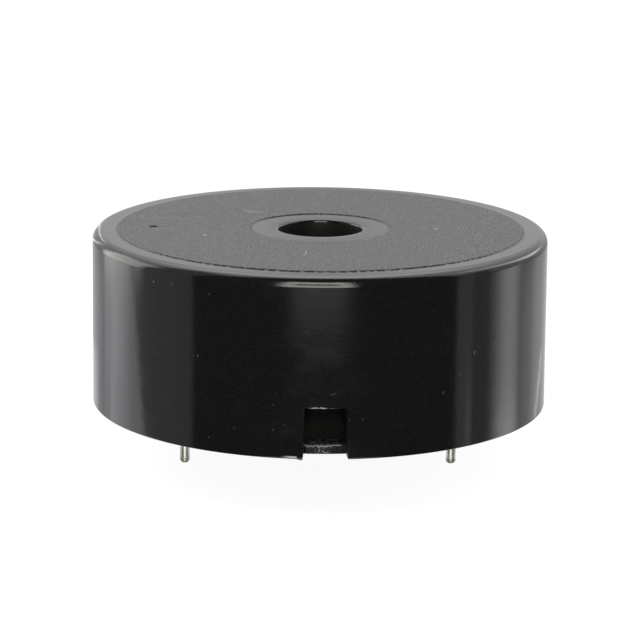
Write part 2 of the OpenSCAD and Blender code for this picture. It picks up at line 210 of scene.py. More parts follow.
class Net:
    """The node tree of one material or of the world."""

    MIX_FACTOR, MIX_LOW, MIX_HIGH, MIX_COLOUR = 0, 6, 7, 2

    def __init__(self, owner: bpy.types.Material | bpy.types.World) -> None:
        """Empties the owner's node tree and keeps it."""
        owner.use_nodes = True
        self.tree = owner.node_tree
        self.tree.nodes.clear()

    def node(
        self,
        kind: str,
        settings: Mapping[str, Any] | None = None,
        sockets: Mapping[str | int, Any] | None = None,
    ) -> bpy.types.Node:
        """Makes any node.

        Args:
            kind: Blender's type of node.
            settings: the node's own properties, which are set first.
            sockets: for an input's name or number, a value, a socket or a signal.

        Returns:
            The node.
        """
        made = self.tree.nodes.new(kind)
        for key, value in (settings or {}).items():
            setattr(made, key, value)
        for key, value in (sockets or {}).items():
            value = value.socket if isinstance(value, Signal) else value
            if isinstance(value, Socket):
                self.tree.links.new(value, made.inputs[key])
            else:
                made.inputs[key].default_value = value
        return made

    def place(self) -> Place:
        """Object coordinates in millimetres."""
        source = {0: self.node("ShaderNodeTexCoord").outputs["Object"], "Scale": 1 / MM}
        scaled = self.node("ShaderNodeVectorMath", {"operation": "SCALE"}, source).outputs[0]
        parts = self.node("ShaderNodeSeparateXYZ", None, {0: scaled}).outputs
        return Place(self, scaled, *(Signal(self, parts[i]) for i in range(3)))

    def blend(self, mask: Signal, low: Colour | Socket, high: Colour | Socket) -> Socket:
        """Mixes two colours.

        Args:
            mask: 0 for the first, 1 for the second.
            low: colour or socket.
            high: colour or socket.

        Returns:
            The mixed colour.
        """
        low, high = (c if isinstance(c, Socket) else (*c, 1.0) for c in (low, high))
        sockets = {self.MIX_FACTOR: mask, self.MIX_LOW: low, self.MIX_HIGH: high}
        return self.node("ShaderNodeMix", {"data_type": "RGBA"}, sockets).outputs[self.MIX_COLOUR]

    def bump(self, height: Signal, depth: float) -> Socket:
        """Turns a height into a normal.

        Args:
            height: height between 0 and 1.
            depth: what 1 stands for, in millimetres.

        Returns:
            The bent normal.
        """
        sockets = {"Height": height, "Distance": depth * MM}
        return self.node("ShaderNodeBump", None, sockets).outputs[0]

    def end(self, kind: str, sockets: Mapping[str, Any], output: str = "Material") -> None:
        """Ends the tree in one shader.

        Args:
            kind: Blender's type of the shader node.
            sockets: numbers, colours, sockets or signals for the shader's inputs.
            output: what the tree belongs to, Material or World.
        """
        full = {k: (*v, 1.0) if isinstance(v, tuple) else v for k, v in sockets.items()}
        shader = self.node(kind, None, full)
        self.node("ShaderNodeOutput" + output, None, {"Surface": shader.outputs[0]})


# Finishes


@dataclass(frozen=True)
class Finish:
    """One finish: its name and its plain colour."""

    name: str
    base: Colour

    def shades(self, mask: Signal, low: float, high: float) -> Socket:
        """Varies the plain colour between two of its multiples.

        Args:
            mask: 0 for the first, 1 for the second.
            low: factor of the first.
            high: factor of the second.

        Returns:
            The colour.
        """
        first, second = (tuple(factor * part for part in self.base) for factor in (low, high))
        return mask.net.blend(mask, first, second)

    def dress(self, place: Place) -> Mapping[str, Any]:
        """Values for the Principled shader; each finish has its own."""
        return {"Base Color": self.base}

    @cache
    def material(self) -> bpy.types.Material:
        """Makes the finish's material, once.

        Returns:
            The material.
        """
        made = bpy.data.materials.new(self.name)
        net = Net(made)
        net.end("ShaderNodeBsdfPrincipled", self.dress(net.place()))
        made.diffuse_color = (*self.base, 1.0)
        return made


@dataclass(frozen=True)
class Mark:
    """A short light scratch on the case, from one point to the other, in millimetres."""

    start: Point
    end: Point
    width: float
    light: float

    def mask(self, place: Place) -> Signal:
        """Full within a third of its width of the line between its ends, and soft outside.

        Args:
            place: the surface point.

        Returns:
            Lightness of the mark.
        """
        way = np.array(self.end) - np.array(self.start)
        length2 = max(float(way @ way), 1e-6)
        axes = list(zip((place.x, place.y, place.z), self.start, way.tolist()))
        along = sum((p - q) * (w / length2) for p, q, w in axes).most(0.0)
        along = along.apply("MINIMUM", along, 1.0)
        away = sum((p - q - along * w) ** 2.0 for p, q, w in axes) ** 0.5
        return away.rise(self.width, self.width / 3) * self.light


@dataclass(frozen=True)
class WornFinish(Finish):
    """A finish with dust specks and a few marks."""

    roughness: float = 0.1
    marks: tuple[Mark, ...] = ()
    specks: float = 0.9
    speck_light: float = 0.08
    speck_size: Span = (0.09, 0.03)
    speck_share: Span = (0.8, 0.82)

    def worn(self, place: Place) -> Signal:
        """Dust and marks together.

        Args:
            place: the surface point.

        Returns:
            Mask of what is worn or dusty.
        """
        gap, pick = place.cells(self.specks)
        worn = gap.rise(*self.speck_size) * pick.rise(*self.speck_share) * self.speck_light
        for mark in self.marks:
            worn = worn.most(mark.mask(place))
        return worn


@dataclass(frozen=True)
class GlossCase(WornFinish):
    """Glossy moulded plastic: faint orange peel, fine dust, a few marks, a scuffed notch, painted
    glints.
    """

    roughness: float = 0.075
    corner_z: Span = (15.2, 15.5)
    corner_r: Span = (19.9, 20.15)
    # Light grey of dust, marks and scuffing, also used for the painted glints by the notch.
    scuff_and_glint: Colour = (0.36, 0.37, 0.36)
    lip_x: Span = (-1.45, 0.95)
    lip_z: float = 4.56
    lip_bulge: float = 0.34
    bulge_x: Span = (-1.3, 0.0)
    rim_x: tuple[Span, Span] = ((-3.9, -2.9), (-2.35, -2.6))
    rim_z: Span = (0.1, 0.25)

    def dress(self, place: Place) -> Mapping[str, Any]:
        """Orange peel, coarser on the corner, bends the normal; dust, marks, scuffing and painted
        glints are light and rough.

        Args:
            place: the surface point.

        Returns:
            Values for the shader.
        """
        mottle = place.noise(6.0)
        corner = place.z.rise(*self.corner_z) * place.radius().rise(*self.corner_r)
        peel = place.noise(0.8) + (0.4 + 1.1 * corner) * mottle
        haze = place.noise(0.35, 4.0)
        # The painted highlight on the notch's upper edge and the painted glint on the rim join the
        # dust and marks.
        worn = self.worn(place).most(self.notch_scuff_and_glint(place))
        black = self.shades(mottle.rise(0.35, 0.65), 0.7, 1.3)
        return {
            "Base Color": place.net.blend(worn, black, self.scuff_and_glint),
            "Roughness": self.roughness + 0.05 * haze.rise(0.4, 0.7) + 0.4 * worn,
            "IOR": 1.5,
            "Normal": place.net.bump(peel + 0.6 * worn, 0.004),
        }

    def notch_scuff_and_glint(self, place: Place) -> Signal:
        """Light line along the notch's upper edge, part scuffing and part painted highlight, and a
        painted glint on the rim beside the notch.

        Args:
            place: the surface point.

        Returns:
            Mask of the scuffing and the painted glints.
        """
        rough = place.noise(10.0, 3.0)
        outside = place.radius().rise(20.7, 20.85) * place.y.rise(-15.0, -18.0)
        broken = place.noise(5.0, 3.0, (1.0, 1.0, 0.2))
        bulge = self.lip_bulge * (broken - 0.25) * place.x.between(*self.bulge_x, 0.6)
        # Painted highlight, with some scuffing, along the notch's upper edge.
        upper = (self.lip_z + bulge - place.z).rise(-0.02, 0.05) * place.z.rise(4.45, 4.52)
        upper = upper * place.x.between(*self.lip_x, 0.6) * rough.rise(0.3, 0.5)
        taper = place.x.rise(*self.rim_x[0]) * place.x.rise(*self.rim_x[1])
        # Painted glint on the rim's lower edge, left of the notch.
        rim = place.z.between(*self.rim_z, 0.06) * taper * rough.rise(0.28, 0.5)
        return outside * (0.62 * upper + 0.85 * rim)


@dataclass(frozen=True)
class GrainedTop(WornFinish):
    """Raised ring with the fine grain of a spark-eroded mould."""

    roughness: float = 0.32
    grain_depth: float = 0.095
    pit: Span = (-15.35, 0.0)
    pit_r: float = 0.46
    dust: Colour = (0.5, 0.5, 0.48)

    def dress(self, place: Place) -> Mapping[str, Any]:
        """Grain bends the normal and varies the roughness; colour speckles are painted glints of
        the grain; the dimple stays smooth.

        Args:
            place: the surface point.

        Returns:
            Values for the shader.
        """
        fine = place.noise(9.0, 1.0, (1.0, 0.5, 1.0))
        glint = place.noise(9.0, 0.0, (1.0, 0.45, 1.0))
        coarse = place.noise(2.4)
        pit = ((place.x - self.pit[0]) ** 2.0 + (place.y - self.pit[1]) ** 2.0) ** 0.5
        inside = pit.rise(self.pit_r, self.pit_r - 0.06)
        # Painted glints: the colour is speckled from black up to 4.6 times the plain colour,
        # standing in for the grain's glints.
        grey = self.shades(glint.rise(0.47, 0.74), 0.0, 4.6)
        tone = place.net.blend(inside, grey, (0.0, 0.0, 0.0))
        return {
            "Base Color": place.net.blend(self.worn(place), tone, self.dust),
            "Roughness": self.roughness + 0.06 * coarse + 0.4 * inside,
            "Specular IOR Level": 0.38,
            "Normal": place.net.bump(0.9 * fine + 0.1 * coarse, self.grain_depth),
        }


@dataclass(frozen=True)
class TornBase(Finish):
    """Moulded plastic, its edge torn and whitened at the gate; painted shade and a painted ledge
    highlight on the wall.
    """

    white: Colour = (0.21, 0.225, 0.215)
    # Painted light: the lighter colour that the plastic takes towards the foot of the wall.
    foot: Colour = (0.02, 0.02, 0.0175)
    roughness: float = 0.22
    # Heights over which the painted shade turns into the lighter foot colour.
    painted_shade_z: Span = (3.6, 0.9)
    ledge_z: Span = (0.97, 1.04)
    ledge_x: Span = (-1.45, 1.15)
    edge_y: float = -19.5
    edge_x: Span = (-1.85, 1.35)
    edge_z: float = 0.9
    spots_x: Span = (-1.35, 0.75)
    spots_z: Span = (0.3, 0.72)

    def dress(self, place: Place) -> Mapping[str, Any]:
        """A jagged light line on the upper edge, torn spots under it, a broken painted highlight
        along the ledge on the wall.

        Args:
            place: the surface point.

        Returns:
            Values for the shader.
        """
        ridges = place.noise(4.4, 3.0, distortion=0.6)
        jagged = place.noise(3.4, 3.0, (1.0, 0.3, 0.3))
        front = place.y.rise(self.edge_y + 0.05, self.edge_y - 0.05)
        height = place.z - self.edge_z + 0.3 * (jagged - 0.5)
        line = height.between(-0.04, 0.08, 0.05) * place.x.between(*self.edge_x, 0.3)
        line = line * jagged.rise(0.34, 0.48)
        spots = place.x.between(*self.spots_x, 0.5) * place.z.between(*self.spots_z, 0.2)
        spots = spots * ridges.rise(0.54, 0.62)
        # Painted highlight: a broken light line along the ledge's edge on the wall.
        ledge = place.z.between(*self.ledge_z, 0.05) * place.x.between(*self.ledge_x, 0.3)
        torn = front * (0.85 * line).most(0.75 * spots)
        # The torn mask also carries the painted ledge highlight.
        torn = torn + 0.3 * (1 - front) * ledge * jagged.rise(0.42, 0.62)
        # Painted shade: darker higher up the wall inside the notch, lighter towards its foot, with
        # some ripple.
        pale = place.z.rise(*self.painted_shade_z) * (0.1 + 1.3 * ridges)
        plastic = place.net.blend(pale, self.base, self.foot)
        return {
            "Base Color": place.net.blend(torn, plastic, self.white),
            "Roughness": self.roughness + 0.2 * torn,
            "Specular IOR Level": 0.04,
            "Normal": place.net.bump(ridges, 0.02),
        }


@dataclass(frozen=True)
class DrawnWire(Finish):
    """Drawn and tinned wire with fine lines along it and a duller, browner tip."""

    roughness: float = 0.3
    tip_z: Span = (-5.7, -6.25)
    # Darker, browner colour that the pin takes towards its tip.
    tarnish: Colour = (0.21, 0.2, 0.155)

    def dress(self, place: Place) -> Mapping[str, Any]:
        """Lines along z, dull patches, small tin grains, and a broken darker, browner tone towards
        the tip.

        Args:
            place: the surface point.

        Returns:
            Values for the shader.
        """
        lines = place.noise(7.0, 3.0, (1.0, 1.0, 0.06))
        dull = place.noise(1.6, 3.0)
        tin = place.noise(6.0)
        metal = self.shades(dull.rise(0.42, 0.66), 1.0, 0.72)
        # The pin grows darker, browner and rougher towards its tip, in broken patches.
        darker_tip = place.z.rise(*self.tip_z) * (0.7 + 0.3 * tin.rise(0.35, 0.6))
        return {
            "Base Color": place.net.blend(darker_tip, metal, self.tarnish),
            "Metallic": 1.0,
            "Roughness": self.roughness + 0.06 * dull.rise(0.4, 0.7) + 0.1 * darker_tip,
            "Normal": place.net.bump(0.75 * lines + 0.25 * tin, 0.007),
        }


@dataclass(frozen=True)
class RolledSheet(Finish):
    """Rolled sheet metal with fine parallel lines and a light tarnish."""

    tarnish: Colour = (0.35, 0.2, 0.07)
    roughness: float = 0.24

    def dress(self, place: Place) -> Mapping[str, Any]:
        """Rolling lines along x, and blotches of tarnish.

        Args:
            place: the surface point.

        Returns:
            Values for the shader.
        """
        lines = place.noise(5.0, 3.0, (0.05, 1.0, 1.0))
        blotch = place.noise(0.28, 4.0)
        return {
            "Base Color": place.net.blend(0.6 * blotch.rise(0.5, 0.72), self.base, self.tarnish),
            "Metallic": 1.0,
            "Roughness": self.roughness + 0.2 * blotch.rise(0.4, 0.7),
            "Normal": place.net.bump(lines, 0.01),
        }


@dataclass(frozen=True)
class Grain:
    """One noise of a grainy finish, and its shares in the tone, the roughness and the height."""

    scale: float
    detail: float
    stretch: Point | None = None
    tone: float = 0.0
    rough: float = 0.0
    height: float = 0.0
    round_axis: bool = False


@dataclass(frozen=True)
class GrainyFinish(Finish):
    """A surface as it left its mould, kiln, press or iron: a few grains at their own scales."""

    grains: tuple[Grain, ...]
    roughness: float
    depth: float
    dark: float = 0.8
    light: float = 1.0
    window: Span | None = None
    metallic: float = 0.0
    shine: float = 0.5

    def dress(self, place: Place) -> Mapping[str, Any]:
        """Adds up the grains' noises, each times its share in the tone, roughness and height.

        Args:
            place: the surface point.

        Returns:
            Values for the shader.
        """
        tone, rough, height = 0.0, self.roughness, 0.0
        for grain in self.grains:
            settings = (grain.scale, grain.detail, grain.stretch, 0.0, grain.round_axis)
            noise = place.noise(*settings)
            tone = tone + grain.tone * noise if grain.tone else tone
            rough = rough + grain.rough * noise if grain.rough else rough
            height = height + grain.height * noise if grain.height else height
        tone = tone.rise(*self.window) if self.window else tone
        return {
            "Base Color": self.shades(tone, self.dark, self.light),
            "Metallic": self.metallic,
            "Roughness": rough,
            "Specular IOR Level": self.shine,
            "Normal": place.net.bump(height, self.depth),
        }


class PartAxis(Enum):
    """Direction of a small part on the board."""

    ALONG_X = "x"
    ALONG_Y = "y"


@dataclass(frozen=True)
class TwoMaterialPart(Finish):
    """A small part with a dark body and tinned metal beyond a distance from its middle."""

    middle: Span = (0.0, 0.0)
    axis: PartAxis = PartAxis.ALONG_X
    body_half: float = 0.65
    edge: float = 0.005
    metal: Colour = (0.72, 0.72, 0.7)

    def dress(self, place: Place) -> Mapping[str, Any]:
        """The body ends where the distance along the part's axis passes its half length.

        Args:
            place: the surface point.

        Returns:
            Values for the shader.
        """
        along_x = self.axis is PartAxis.ALONG_X
        along = place.x - self.middle[0] if along_x else place.y - self.middle[1]
        ends = abs(along).rise(self.body_half - self.edge, self.body_half + self.edge)
        grain = place.noise(9.0)
        return {
            "Base Color": place.net.blend(ends, self.base, self.metal),
            "Metallic": ends,
            "Roughness": 0.38 + 0.15 * grain - 0.1 * ends,
            "Normal": place.net.bump(grain, 0.006),
        }


@dataclass(frozen=True)
class LeadCover(Finish):
    """Insulated lead: a coloured cover between two heights, bare tinned core beyond."""

    low: float = 6.5
    high: float = 8.4
    core: Colour = (0.7, 0.7, 0.68)

    def dress(self, place: Place) -> Mapping[str, Any]:
        """Bare core below and above the cover, and faint die lines on the cover.

        Args:
            place: the surface point.

        Returns:
            Values for the shader.
        """
        bare = 1 - place.z.between(self.low, self.high, 0.01)
        lines = place.noise(7.0)
        return {
            "Base Color": place.net.blend(bare, self.shades(lines, 0.75, 1.0), self.core),
            "Metallic": bare,
            "Roughness": 0.36 + 0.12 * lines,
            "Normal": place.net.bump(lines, 0.01),
        }


# Meshes


def add_object(name: str, data: bpy.types.ID) -> bpy.types.Object:
    """Puts data into the scene.

    Args:
        name: name of the object.
        data: its mesh, lamp or camera.

    Returns:
        The object, at the origin.
    """
    made = bpy.data.objects.new(name, data)
    bpy.context.scene.collection.objects.link(made)
    return made


def make_object(
    name: str, points: np.ndarray, faces: list[list[int]], sharp: float
) -> bpy.types.Object:
    """Puts points and faces into a smooth mesh whose faces point outwards.

    Args:
        name: name of the object.
        points: one row of three coordinates in millimetres for each vertex.
        faces: vertex numbers of each face, all wound the same way.
        sharp: edges that bend more than this many degrees stay sharp.

    Returns:
        The object, at the origin.
    """
    mesh = bpy.data.meshes.new(name)
    mesh.from_pydata((points * MM).tolist(), [], faces)
    if signed_volume(mesh) < 0:
        mesh.flip_normals()
    mesh.shade_smooth()
    mesh.set_sharp_from_angle(angle=math.radians(sharp))
    mesh.update()
    return add_object(name, mesh)


def signed_volume(mesh: bpy.types.Mesh) -> float:
    """A sixth of the sum, over a closed mesh's triangles, of the corners' triple product.

    Args:
        mesh: the closed mesh.

    Returns:
        The volume inside, negative where the faces point inwards.
    """
    mesh.calc_loop_triangles()
    corners = np.empty(len(mesh.loop_triangles) * 3, np.int32)
    mesh.loop_triangles.foreach_get("vertices", corners)
    flat = np.empty(len(mesh.vertices) * 3, np.float32)
    mesh.vertices.foreach_get("co", flat)
    a, b, c = flat.reshape(-1, 3)[corners.reshape(-1, 3)].transpose(1, 0, 2).astype(float)
    return float(np.einsum("ij,ij->i", a, np.cross(b, c)).sum() / 6)


def level(radii: Sequence[float], height: float) -> np.ndarray:
    """Points of a section at one height."""
    return np.array([[r, height] for r in radii])


def upright(radius: float, heights: Sequence[float]) -> np.ndarray:
    """Points of a section at one radius."""
    return np.array([[radius, z] for z in heights])


def arc(centre: Span, radius: float, start: float, end: float, steps: int) -> np.ndarray:
    """Centre plus the radius times the cosine and sine of evenly spaced angles.

    Args:
        centre: the circle's middle.
        radius: its radius.
        start: first angle in degrees.
        end: last angle in degrees.
        steps: number of spans.

    Returns:
        One row of two coordinates for each point.
    """
    angle = np.radians(np.linspace(start, end, steps + 1))
    return np.asarray(centre, float) + radius * np.column_stack((np.cos(angle), np.sin(angle)))


def smooth_step(value: np.ndarray, low: float, high: float) -> np.ndarray:
    """Three times the square less twice the cube of the clipped share of the way to high."""
    t = np.clip((value - low) / (high - low), 0, 1)
    return t * t * (3 - 2 * t)


def ripple(angle: np.ndarray, seed: int, first: int, last: int) -> np.ndarray:
    """Seeded wave round a circle: a sum of sines of whole frequencies with random sizes and phases.

    Args:
        angle: angles in radians.
        seed: seed of the random draws.
        first: lowest frequency.
        last: highest frequency.

    Returns:
        The wave, with a largest value of 1.
    """
    rng = np.random.default_rng(seed)
    rate = np.arange(first, last + 1)
    size, phase = rng.normal(size=rate.size), rng.uniform(0, 2 * np.pi, rate.size)
    wave = (size * np.sin(np.multiply.outer(angle, rate) + phase)).sum(-1)
    return wave / np.abs(wave).max()


def quad_grid(rows: int, columns: int, closed_rows: bool, closed_columns: bool) -> np.ndarray:
    """Quads between neighbours in a grid of points that is numbered row by row.

    Args:
        rows: rows of points.
        columns: points in a row.
        closed_rows: whether the last row joins the first.
        closed_columns: whether the last column joins the first.

    Returns:
        Four vertex numbers for each place of the grid where a quad starts.
    """
    high, wide = rows - (not closed_rows), columns - (not closed_columns)
    i, j = np.meshgrid(np.arange(high), np.arange(wide), indexing="ij")
    down, on = (i + 1) % rows, (j + 1) % columns
    corners = (i * columns + j, i * columns + on, down * columns + on, down * columns + j)
    return np.stack(corners, -1)


def poled_object(
    name: str, rings: np.ndarray, poles: Sequence[Sequence[float]], sharp: float
) -> bpy.types.Object:
    """Joins rings of points, in order, into a closed mesh, with a pole before and after them.

    Args:
        name: name of the object.
        rings: rows by columns by three coordinates, in millimetres.
        poles: the two poles.
        sharp: edges that bend more than this many degrees stay sharp.

    Returns:
        The object.
    """
    rows, columns = rings.shape[:2]
    points = np.vstack((rings.reshape(-1, 3), np.array(poles, float)))
    here, low = np.arange(columns), (rows - 1) * columns
    after = np.roll(here, -1)
    first = np.stack((np.full(columns, rows * columns), after, here), -1)
    last = np.stack((np.full(columns, rows * columns + 1), low + here, low + after), -1)
    quads = quad_grid(rows, columns, False, True).reshape(-1, 4)
    return make_object(name, points, quads.tolist() + first.tolist() + last.tolist(), sharp)


def turned_solid(name: str, profile: np.ndarray, middle: Span, columns: int) -> bpy.types.Object:
    """Solid of revolution: each profile point goes round an upright axis at its radius and height.

    Args:
        name: name of the object.
        profile: radius and height of each point; the first and the last lie on the axis.
        middle: x and y of the axis.
        columns: number of steps round.

    Returns:
        The object, closed at both poles.
    """
    angle = np.linspace(0, 2 * np.pi, columns, endpoint=False)
    r, z = profile[1:-1].T
    x = middle[0] + np.multiply.outer(r, np.cos(angle))
    y = middle[1] + np.multiply.outer(r, np.sin(angle))
    rings = np.stack((x, y, np.repeat(z[:, None], columns, 1)), -1)
    return poled_object(name, rings, [[*middle, profile[0, 1]], [*middle, profile[-1, 1]]], 32.0)


def dress_nodes(finish: Finish, *nodes: str) -> None:
    """Gives CAD nodes one finish.

    Args:
        finish: the finish.
        *nodes: names of the nodes.
    """
    for node in nodes:
        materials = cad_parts[node].data.materials
        materials.clear()
        materials.append(finish.material())
        log.info("finish %s on node %s", finish.name, node)


def add_piece(piece: bpy.types.Object, slot: str, *nodes: str) -> None:
    """Lets a new piece ride on the part and stand for CAD nodes.

    Args:
        piece: the new piece.
        slot: not used.
        *nodes: CAD nodes that it replaces.
    """
    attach(piece, "root")
    if nodes:
        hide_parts(*nodes)
    log.info("piece %s: %d faces", piece.name, len(piece.data.polygons))


# Case

WALL_MARKS = (
    Mark((0.34, -20.96, 5.73), (0.85, -20.94, 5.85), 0.05, 0.07),
    Mark((-1.8, -20.85, 11.13), (-1.59, -20.86, 11.4), 0.05, 0.06),
    Mark((13.02, -16.41, 8.5), (13.04, -16.41, 8.2), 0.06, 0.2),
    Mark((11.74, -17.36, 6.72), (11.76, -17.35, 6.6), 0.06, 0.12),
    Mark((15.02, -14.62, 8.9), (15.02, -14.62, 8.84), 0.06, 0.12),
    Mark((10.2, -18.31, 5.2), (10.3, -18.26, 5.35), 0.06, 0.14),
    Mark((3.21, -20.73, 3.59), (3.22, -20.73, 3.5), 0.09, 0.06),
    Mark((2.02, -20.87, 3.6), (2.02, -20.87, 3.4), 0.05, 0.05),
    Mark((-14.87, -14.69, 14.25), (-14.87, -14.69, 14.15), 0.08, 0.2),
    Mark((-13.27, -16.15, 14.42), (-13.27, -16.15, 14.3), 0.07, 0.12),
    Mark((-11.0, -17.82, 8.45), (-11.0, -17.82, 8.35), 0.07, 0.14),
)
TOP_MARKS = (
    Mark((-1.72, -12.3, 16.08), (-1.52, -10.3, 16.08), 0.06, 0.4),
    Mark((-10.65, -3.9, 16.08), (-10.5, -3.7, 16.08), 0.15, 0.6),
    Mark((10.6, -0.75, 16.08), (10.7, -0.6, 16.08), 0.16, 0.6),
    Mark((-6.8, 6.96, 16.08), (-5.3, 6.99, 16.08), 0.2, 0.28),
)


class Zone(Enum):
    """Which finish a face of the case has, as the number of its material."""

    GLOSS = 0
    GRAIN = 1
    INSIDE = 2


@dataclass
class Case:
    """The moulded case: a cup with a grained top, a sound hole, a polarity dimple and a notch."""

    rim_r: float = 20.995
    rim_edge: float = 0.07
    wall_top: Span = (20.0, 15.1)
    wall_above_notch: tuple[float, ...] = (13.0, 11.0, 9.0, 7.0, 5.5)
    wall_below_notch: tuple[float, ...] = (3.6, 2.6, 1.7, 1.0, 0.5, 0.2)
    corner_r: float = 0.9
    draft: float = 0.36
    height: float = 16.0
    ceiling: float = 14.4
    inner_r: float = 18.9
    rebate_r: float = 19.8
    rebate_h: float = 1.0
    rebate_edge: float = 0.05
    rib_in: float = 16.4
    rib_out: float = 17.9
    rib_z: float = 9.4
    hole_r: float = 3.85
    hole_edge: float = 0.26
    ring_r: float = 6.45
    grain_r: float = 18.6
    grain_rise: float = 0.08
    grain_step: float = 0.03
    grain_ragged: float = 0.03
    grain_worn: float = 0.09
    dimple_x: float = -15.35
    dimple_r: float = 0.45
    dimple_ball: float = 0.606
    dimple_z: float = 16.486
    dimple_rows: int = 25
    notch_half: float = 1.975
    notch_h: float = 4.55
    notch_draft: float = 1.6
    lip_ragged: float = 0.05
    burr_x: tuple[Span, Span] = ((-2.45, -2.25), (-1.9, -2.0))
    burr: float = 0.1
    bead_reach: float = 0.25
    bead_half: float = 6.0
    bead_soft: float = 0.25
    bead_rows: tuple[float, ...] = (0.145, 0.16, 0.49, 0.505)
    beads: Span = (45.0, 135.0)
    notch_columns: int = 26
    side_columns: int = 344

    def profile(self) -> tuple[np.ndarray, dict[str, int]]:
        """Section as one closed line, from the hole over the top, down the wall and back inside.

        Returns:
            Radius and height of each point, and the numbers of the points that matter.
        """
        h, up, hole_top = self.height, self.height + self.grain_rise, self.height - self.hole_edge
        ring, grain, step = self.ring_r, self.grain_r, self.grain_step
        edge, slope = self.rim_edge, math.tan(math.radians(self.draft))
        hole_z = np.linspace(self.ceiling, hole_top, 5)[:-1]
        dimple = np.linspace(-0.6, 0.6, self.dimple_rows) - self.dimple_x
        wall_z = (*self.wall_above_notch, self.notch_h, *self.wall_below_notch)
        # Plain radii and heights between the named ones only space out the rows.
        parts: dict[str, np.ndarray] = {
            "hole": upright(self.hole_r, hole_z),
            "hole_edge": arc((self.hole_r + self.hole_edge, hole_top), self.hole_edge, 180, 90, 8),
            "ring": level((5.0, 5.8, ring - 0.1), h),
            "inner_step": np.array(
                [[ring, h], [ring + step / 2, up - step / 2], [ring + step, up]]
            ),
            "grain": level((6.8, 8.5, 11.0, 13.5, *dimple, 16.5, 17.6, 18.3), up),
            "outer_step": np.array(
                [[grain - step, up], [grain - step / 2, up - step / 2], [grain, h]]
            ),
            "border": level((18.92, 19.2, 19.6), h),
            "corner": arc(self.wall_top, self.corner_r, 90, self.draft, 30),
            "wall": np.array([[self.rim_r - z * slope, z] for z in wall_z]),
            "rim_outside": arc((self.rim_r - edge, edge), edge, 0, -90, 5),
            "rim": level((20.5, 20.1, self.rebate_r + self.rebate_edge), 0.0),
            "rebate": upright(self.rebate_r, (self.rebate_edge, *self.bead_rows, self.rebate_h)),
            "inside": upright(self.inner_r, (self.rebate_h, 2.0, 3.2)),
            "lintel_in": upright(self.inner_r, (self.notch_h, 8.0, 12.0, self.ceiling)),
            "rib_outside": upright(self.rib_out, (self.ceiling, self.rib_z)),
            "rib_inside": upright(self.rib_in, (self.rib_z, self.ceiling)),
            "ceiling": level((12.0, 7.0), self.ceiling),
        }
        starts, count = {}, 0
        for name, points in parts.items():
            starts[name] = count
            count += len(points)
        starts["lintel_out"] = starts["wall"] + len(self.wall_above_notch)
        return np.vstack(list(parts.values())), starts

    def columns(self) -> np.ndarray:
        """Share of the way round of each column: from -2 at the back over 0 at the notch to 2.

        The notch's two edges are at -1 and 1, columns are evenly spaced on either side of them, and
        extra ones lie close together beside the dimple.

        Returns:
            The signed shares, in order.
        """
        inner = np.linspace(0, 1, self.notch_columns // 2 + 1)
        outer = 1 + np.linspace(0, 1, self.side_columns + 1)[1:]
        right = np.concatenate((inner, outer))
        left = np.concatenate((inner, np.sort(np.concatenate((outer, self.dimple_columns(outer))))))
        return np.concatenate((-left[::-1], right[1:-1]))

    def dimple_columns(self, outer: np.ndarray) -> np.ndarray:
        """Extra columns at each quarter of the steps within 2.5 degrees of the dimple.

        Args:
            outer: the columns outside the notch, from 1 to 2.

        Returns:
            The extra columns.
        """
        edge = math.degrees(self.notch_angle(np.array([self.height]))[0])
        angle = edge + (outer - 1) * (180 - edge)
        near = outer[np.abs(angle - 90) < 2.5]
        step = outer[1] - outer[0]
        return np.concatenate([near[:-1] + step * share for share in (0.25, 0.5, 0.75)])

    def notch_angle(self, z: np.ndarray) -> np.ndarray:
        """Half the notch's angle: half its width over the rim's radius, less the draft upwards."""
        narrower = np.minimum(z, self.notch_h) * math.tan(math.radians(self.notch_draft))
        return np.arcsin(self.notch_half / self.rim_r) - narrower / self.rim_r

    def grid(self, profile: np.ndarray, starts: dict[str, int], share: np.ndarray) -> np.ndarray:
        """Carries the section round the axis.

        A point's angle from the notch's middle is its share times the notch's half angle inside the
        notch, and from there on grows evenly to half a turn. Radius and height are the section's,
        with ragged edges of the grain, snap beads in the rebate, a ball's cap pressed in for the
        dimple, and a burr on the edge of the notch and beside it.

        Args:
            profile: radius and height of each point of the section.
            starts: numbers of the points that matter.
            share: the columns, from -2 to 2.

        Returns:
            Points as rows by columns by three coordinates.
        """
        edge = self.notch_angle(profile[:, 1])[:, None]
        size = np.abs(share)[None, :]
        beyond = edge + (size - 1) * (np.pi - edge)
        angle = np.sign(share) * np.where(size <= 1, size * edge, beyond)
        r = np.repeat(profile[:, :1], share.size, 1)
        z = np.repeat(profile[:, 1:], share.size, 1)
        around = angle[0]
        sides = 1 - smooth_step(np.abs(np.cos(around)), 0.2, 0.75)
        for first, outwards in ((starts["inner_step"], -1), (starts["outer_step"], 1)):
            r[first : first + 3] += self.grain_ragged * ripple(around, first, 60, 300)
            foot = first if outwards < 0 else first + 2
            worn = smooth_step(ripple(around, foot + 1, 110, 345), -0.2, 0.25)
            r[foot] += outwards * self.grain_worn * (worn * (1 - sides) + 2 * sides)
        turn, soft = np.abs(np.degrees(around)), self.bead_soft
        inwards = (self.bead_half - np.abs(turn - at) for at in self.beads)
        beads = sum(smooth_step(way, -soft, soft) for way in inwards)
        r[starts["rebate"] + 2 : starts["rebate"] + 4] -= self.bead_reach * beads
        x, y = r * np.sin(angle), -r * np.cos(angle)
        flat = slice(starts["grain"], starts["outer_step"])
        away = np.hypot(x[flat] - self.dimple_x, y[flat])
        ball = self.dimple_z - np.sqrt(np.clip(self.dimple_ball**2 - away**2, 0, None))
        z[flat] = np.where(away < self.dimple_r, np.minimum(z[flat], ball), z[flat])
